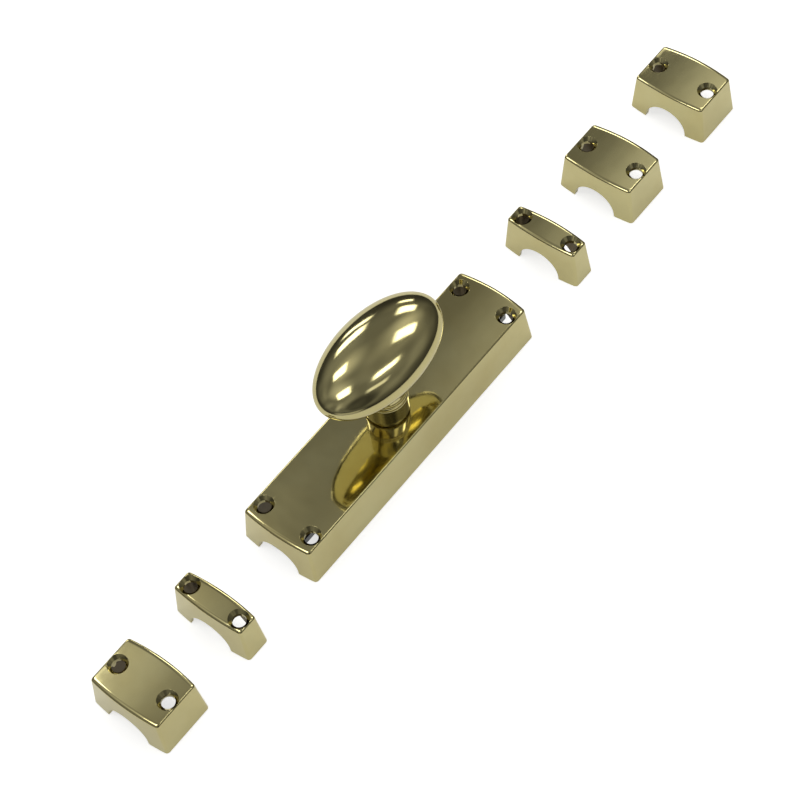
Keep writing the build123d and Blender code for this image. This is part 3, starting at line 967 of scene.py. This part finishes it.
class CREMONE_OT_mechanism(bpy.types.Operator):
    """Gives the bush and the pieces inside the case their own metals"""

    bl_idname = "cremone.mechanism"
    bl_label = "Mechanism"

    def execute(self, context):
        finish = context.scene.cremone_finish
        # Each steel has two tones, its grain in millimetres, the range of its roughness, its relief
        # in millimetres, and a stretch where the grain has a direction

        # Zinc plating spangles a little and stays cool and pale
        zinc = steel("zinc_plated_mild_steel", "#c4c9cc", "#a5aaae", 0.5, 0.22, 0.4, 0.006)
        # Cold-rolled strip keeps fine lines along its length and an oily grey
        pressed = steel(
            "cold_rolled_steel", "#9a9c9d", "#77797b", 0.3, 0.26, 0.42, 0.006, (0.08, 1, 1)
        )
        # Drawn bar is the brightest, with faint draw lines along it
        bright = steel(
            "bright_drawn_steel", "#c2c2bf", "#a09f9b", 0.25, 0.14, 0.26, 0.003, (1, 1, 0.08)
        )
        # Sintered powder shows as a matt, finely pitted dark grey
        sintered = steel("sintered_iron", "#74706a", "#56534f", 0.35, 0.45, 0.6, 0.03)
        # Hardened spring strip has a faint straw tint
        spring = steel("tempered_spring_steel", "#8f8a7d", "#6d6a63", 0.3, 0.25, 0.38, 0.004)
        # Black oxide swallows most of the light and shines only at its edges
        black = steel("black_oxide_steel", "#2e2e30", "#1e1e20", 0.3, 0.32, 0.48, 0.006)
        metals = {
            "spindle_bush": turned_brass(finish),
            "back_plate": zinc,
            "back_plate_screws": zinc,
            "pinion_washer": zinc,
            "pinion_screw": zinc,
            "rack_upper": pressed,
            "rack_lower": pressed,
            "rod_peg_upper": bright,
            "rod_peg_lower": bright,
            "spindle": bright,
            "pinion": sintered,
            "spring_washer": spring,
            "grub_screw": black,
        }
        for node, metal in metals.items():
            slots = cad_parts[node].material_slots
            if not slots:
                raise RuntimeError(f"{node} has no material slot")
            for slot in slots:
                slot.material = metal
        return {"FINISHED"}


# ---- Stage ---------------------------------------------------------------------------------------


def direction(azimuth, elevation):
    """Unit vector towards a place in the studio, both angles in degrees."""
    azimuth, elevation = radians(azimuth), radians(elevation)
    level = cos(elevation)
    return Vector((level * cos(azimuth), level * sin(azimuth), sin(elevation)))


def panel(name, azimuth, elevation, long_side, short_side, tilt, glow, softness=0.5):
    """Soft light panel that faces the set, its size as a share of its distance."""
    distance = 1.6
    towards = direction(azimuth, elevation)
    across = Vector((0, 0, 1)).cross(towards).normalized()
    upwards = towards.cross(across)
    lean = radians(tilt)
    long_axis = cos(lean) * across + sin(lean) * upwards
    short_axis = towards.cross(long_axis)
    deselect_all()
    bpy.ops.object.light_add(type="AREA")
    lamp = bpy.context.active_object
    lamp.name = name
    lamp.data.shape = "RECTANGLE"
    lamp.data.size = long_side * distance
    lamp.data.size_y = short_side * distance
    lamp.data.energy = glow * pi * lamp.data.size * lamp.data.size_y

    # The light fades towards the panel's edges
    lamp.data.use_nodes = True
    lamp.data.node_tree.nodes.clear()
    spot = add_node(lamp.data, "ShaderNodeNewGeometry").outputs["Parametric"]
    centred = add_node(lamp.data, "ShaderNodeMapping", {"Vector": spot}, Location=(-0.5, -0.5, 0))
    split = add_node(lamp.data, "ShaderNodeSeparateXYZ", {"Vector": centred.outputs["Vector"]})
    sides = []
    for axis in ("X", "Y"):
        out = add_node(lamp.data, "ShaderNodeMath", {0: split.outputs[axis]}, operation="ABSOLUTE")
        side = add_node(
            lamp.data, "ShaderNodeMapRange", {"Value": out.outputs[0]},
            interpolation_type="SMOOTHSTEP",
            **{"From Min": 0.5, "From Max": 0.5 - softness / 2, "To Min": 0.0, "To Max": 1.0},
        )
        sides.append(side.outputs["Result"])
    fade = add_node(lamp.data, "ShaderNodeMath", dict(enumerate(sides)), operation="MULTIPLY")
    cloth = add_node(lamp.data, "ShaderNodeEmission", {"Strength": fade.outputs[0]})
    add_node(lamp.data, "ShaderNodeOutputLight", {"Surface": cloth.outputs["Emission"]})
    turn = Matrix((long_axis, short_axis, towards)).transposed().to_4x4()
    lamp.matrix_world = Matrix.Translation(towards * distance) @ turn


def paint_room(world):
    """Plain grey room for the brass to mirror."""
    dark_corner = direction(-125, 43)
    world.use_nodes = True
    world.node_tree.nodes.clear()
    # It is mid grey overhead, falls off towards the horizon, and has a dark corner in front
    place = add_node(world, "ShaderNodeTexCoord").outputs["Generated"]
    height = add_node(world, "ShaderNodeSeparateXYZ", {"Vector": place}).outputs["Z"]
    overhead = add_node(
        world, "ShaderNodeMapRange", {"Value": height}, interpolation_type="SMOOTHSTEP",
        **{"From Min": 0.12, "From Max": 0.65, "To Min": 0.06, "To Max": 0.25},
    )
    front = add_node(world, "ShaderNodeVectorMath", {0: place}, operation="DOT_PRODUCT")
    front.inputs[1].default_value = dark_corner
    corner = add_node(
        world, "ShaderNodeMapRange", {"Value": front.outputs["Value"]},
        interpolation_type="SMOOTHSTEP",
        **{"From Min": 0.9, "From Max": 0.975, "To Min": 1.0, "To Max": 0.3},
    )
    both = add_node(
        world, "ShaderNodeMath", {0: overhead.outputs["Result"], 1: corner.outputs["Result"]},
        operation="MULTIPLY",
    )
    # Walls and ceiling are a little uneven, as in any real room
    patches = add_node(
        world, "ShaderNodeTexNoise", {"Vector": place}, Scale=3.0, Detail=0.0, Roughness=0.5
    )
    uneven = add_node(
        world, "ShaderNodeMapRange", {"Value": patches.outputs["Fac"]},
        **{"From Min": 0.35, "From Max": 0.65, "To Min": 0.8, "To Max": 1.25},
    )
    brightness = add_node(
        world, "ShaderNodeMath", {0: both.outputs[0], 1: uneven.outputs["Result"]},
        operation="MULTIPLY",
    )
    room = add_node(world, "ShaderNodeBackground", {"Strength": brightness.outputs[0]})
    room.inputs["Color"].default_value = (1, 1, 1, 1)
    add_node(world, "ShaderNodeOutputWorld", {"Surface": room.outputs["Background"]})


def aim_camera(scene):
    """Long lens above the set, rolled a little."""
    look = Vector((0.3735, 0.3903, -0.8415)).normalized()
    target = Vector((13.35, 6.62, 0)) * MM
    distance, roll = 878.75 * MM, radians(-9.39)
    level = look.cross(Vector((0, 0, 1))).normalized()
    above = level.cross(look)
    right = cos(roll) * level + sin(roll) * above
    up = cos(roll) * above - sin(roll) * level
    turn = Matrix((right, up, -look)).transposed().to_4x4()
    bpy.ops.object.camera_add()
    camera = bpy.context.active_object
    camera.name = "camera"
    camera.matrix_world = Matrix.Translation(target - look * distance) @ turn
    camera.data.lens = 104.42
    camera.data.sensor_width = 36
    camera.data.clip_start = 10 * MM
    scene.camera = camera


class CREMONE_OT_stage(bpy.types.Operator):
    """Lays the paper, hangs the lights and sets up the camera"""

    bl_idname = "cremone.stage"
    bl_label = "Stage"

    def execute(self, context):
        scene = context.scene
        floor_size = 6  # metres
        deselect_all()
        bpy.ops.mesh.primitive_plane_add(size=floor_size, location=(0, 0, 0))
        floor = new_piece("paper")
        place_in_mesh(floor)
        floor.data.materials.append(paper_floor(scene.cremone_finish))

        # Softboxes and strips stand round the set, and the knob shows them all. Each line gives
        # azimuth, elevation, long side, short side, tilt and glow, and then softness if need be.
        panel("softbox_left", 91, 55, 0.285, 0.19, -40, 4.8)
        panel("softbox_high", 156, 71, 0.38, 0.26, 81, 4.6)
        panel("softbox_right", 5, 55, 0.37, 0.20, 44, 4.6)
        panel("softbox_low", 29, 35, 0.32, 0.20, 10, 4.6)
        panel("strip_low", 36, 21, 0.24, 0.09, 5, 3.6)
        panel("strip_middle", 70, 31, 0.38, 0.17, -18, 4.6)
        panel("strip_left", 65, 20, 0.36, 0.10, -35, 3.6)
        panel("strip_front", -49, 70, 0.40, 0.14, -65, 4.2)
        panel("strip_faint", -89, 62, 0.42, 0.14, -31, 1.0)

        # Each softbox lights a patch of ceiling round it
        panel("glow_left", 82, 59, 0.62, 0.5, -40, 0.52, 1)
        panel("glow_high", 135, 66, 0.8, 0.6, 60, 0.5, 1)
        panel("glow_right", 16, 50, 0.85, 0.5, 60, 0.5, 1)
        panel("glow_front", -52, 70, 0.6, 0.36, -62, 0.3, 1)
        # A wall and a table on the camera's side catch a little light too
        panel("glow_wall", -172, 42, 0.75, 0.28, 90, 0.3, 1)
        panel("glow_table", -145, 10, 1.3, 0.34, 0, 0.45, 0.6)

        scene.world = scene.world or bpy.data.worlds.new("studio")
        paint_room(scene.world)
        aim_camera(scene)
        scene.view_settings.view_transform = "Standard"
        return {"FINISHED"}


# ---- Panel and registration ----------------------------------------------------------------------


class CREMONE_PT_panel(bpy.types.Panel):
    """Lists the steps of the set"""

    bl_label = "Cremone Bolt"
    bl_idname = "CREMONE_PT_panel"
    bl_space_type = "VIEW_3D"
    bl_region_type = "UI"
    bl_category = "Cremone Bolt"

    def draw(self, context):
        for step in STEPS:
            self.layout.operator(step.bl_idname)
        for group_name in GROUPS:
            group = getattr(context.scene, group_name)
            box = self.layout.box()
            for name in group.bl_rna.properties.keys():
                if name not in ("rna_type", "name"):
                    box.prop(group, name)


GROUPS = {
    "cremone_castings": CastingSizes,
    "cremone_knob": KnobSizes,
    "cremone_finish": Finish,
}
STEPS = (
    CREMONE_OT_narrow_guides,
    CREMONE_OT_wide_blocks,
    CREMONE_OT_case,
    CREMONE_OT_neck,
    CREMONE_OT_knob,
    CREMONE_OT_mechanism,
    CREMONE_OT_stage,
)


def register():
    for name, group in GROUPS.items():
        bpy.utils.register_class(group)
        setattr(bpy.types.Scene, name, PointerProperty(type=group))
    for step in STEPS:
        bpy.utils.register_class(step)
    bpy.utils.register_class(CREMONE_PT_panel)


def unregister():
    bpy.utils.unregister_class(CREMONE_PT_panel)
    for step in reversed(STEPS):
        bpy.utils.unregister_class(step)
    for name, group in GROUPS.items():
        delattr(bpy.types.Scene, name)
        bpy.utils.unregister_class(group)


def main():
    """Builds the set."""
    register()
    bpy.ops.cremone.narrow_guides()
    bpy.ops.cremone.wide_blocks()
    bpy.ops.cremone.case()
    bpy.ops.cremone.neck()
    bpy.ops.cremone.knob()
    bpy.ops.cremone.mechanism()
    bpy.ops.cremone.stage()


if __name__ == "__main__":
    main()
